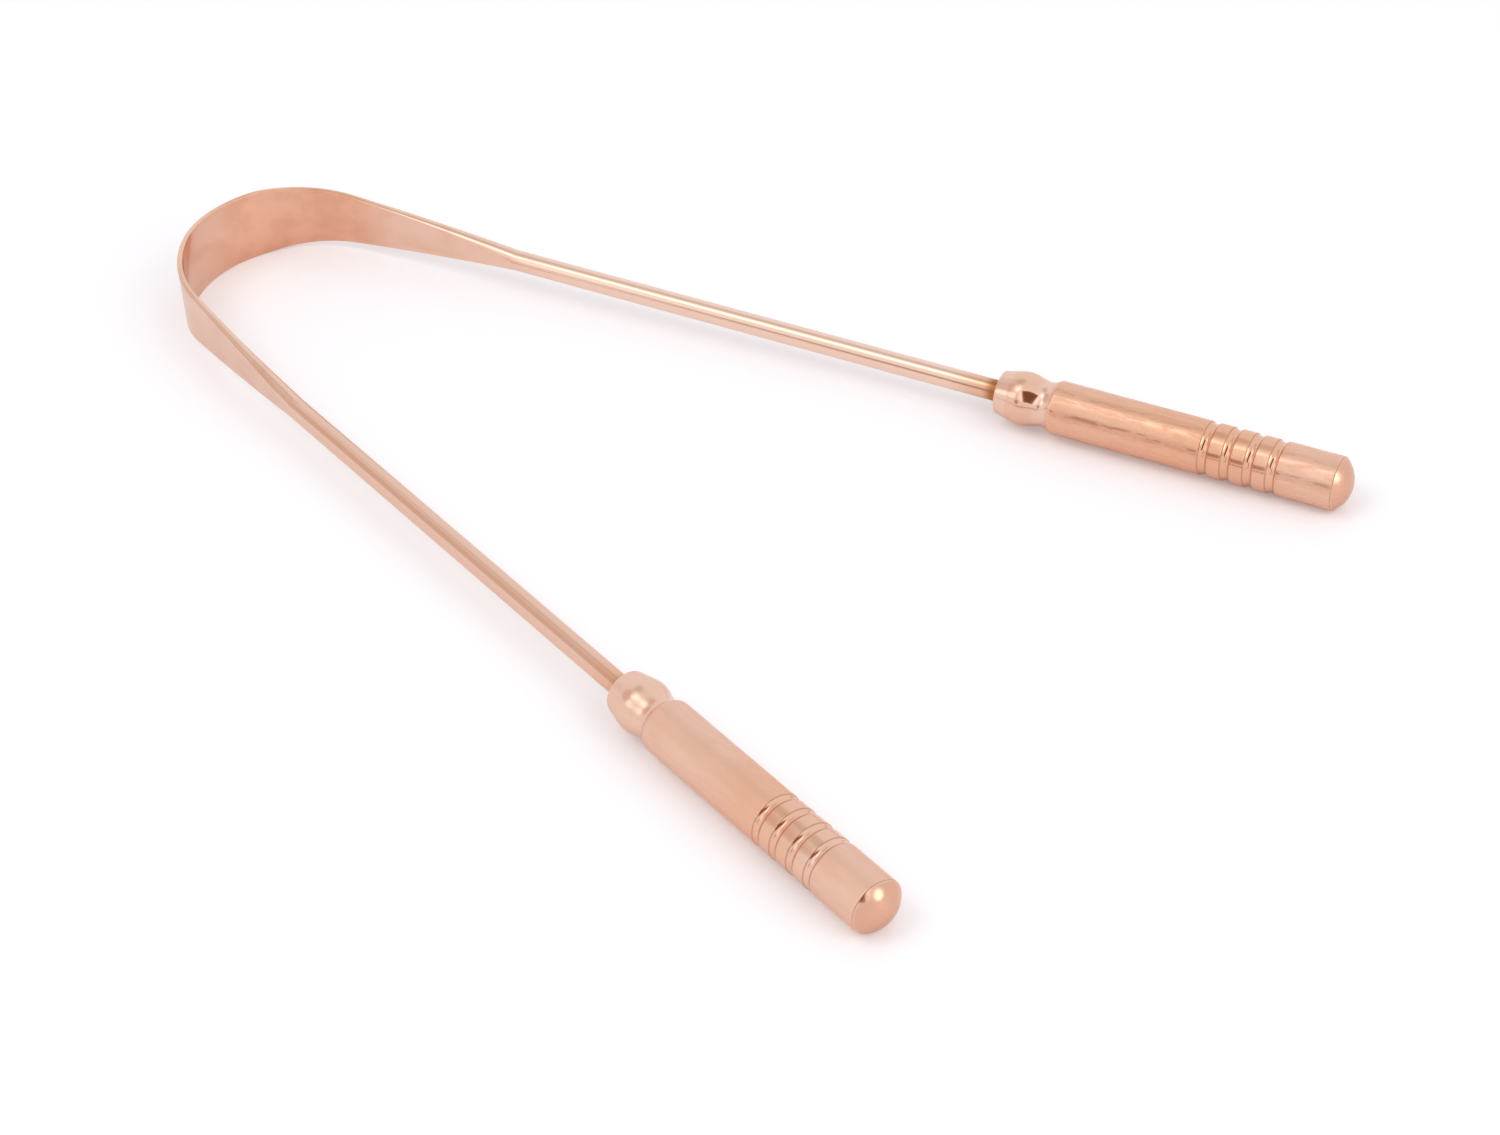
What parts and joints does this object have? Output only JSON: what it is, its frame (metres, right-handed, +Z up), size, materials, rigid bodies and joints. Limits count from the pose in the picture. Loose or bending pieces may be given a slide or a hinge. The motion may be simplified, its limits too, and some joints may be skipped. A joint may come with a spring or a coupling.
{
  "type": "tongue scraper",
  "caption": "Tongue scraper: a thin upright strip bent into a springy U, narrowing into straight round arms that each end in a turned, grooved handle.",
  "frame": {"origin": "centre of the footprint, on the table that the object lies on", "axes": "+X from the bend towards the handles, +Z up, the arms lie left and right of the plane y = 0"},
  "size_m": [0.155, 0.099, 0.0102],
  "materials": {
    "copper_strip": "polished copper, drawn and rolled, with fine lengthwise lines",
    "copper_turned": "polished copper, turned, slightly wavy"
  },
  "bodies": {
    "bend": {"blade": "copper_strip"},
    "left_side": {"left_arm": "copper_strip", "left_handle": "copper_turned"},
    "right_side": {"right_arm": "copper_strip", "right_handle": "copper_turned"}
  },
  "joints": [
    {"name": "left_squeeze", "type": "hinge", "parent": "bend", "child": "left_side", "pos_m": [-0.06576, -0.01495, 0.00499], "axis": [0.0106, 0, 0.9999], "range_deg": [-8, 8], "stiffness_Nm_per_rad": 0.9, "deforming": ["blade"]},
    {"name": "right_squeeze", "type": "hinge", "parent": "bend", "child": "right_side", "pos_m": [-0.06576, 0.01495, 0.00499], "axis": [-0.0106, 0, -0.9999], "range_deg": [-8, 8], "stiffness_Nm_per_rad": 0.9, "deforming": ["blade"]}
  ]
}
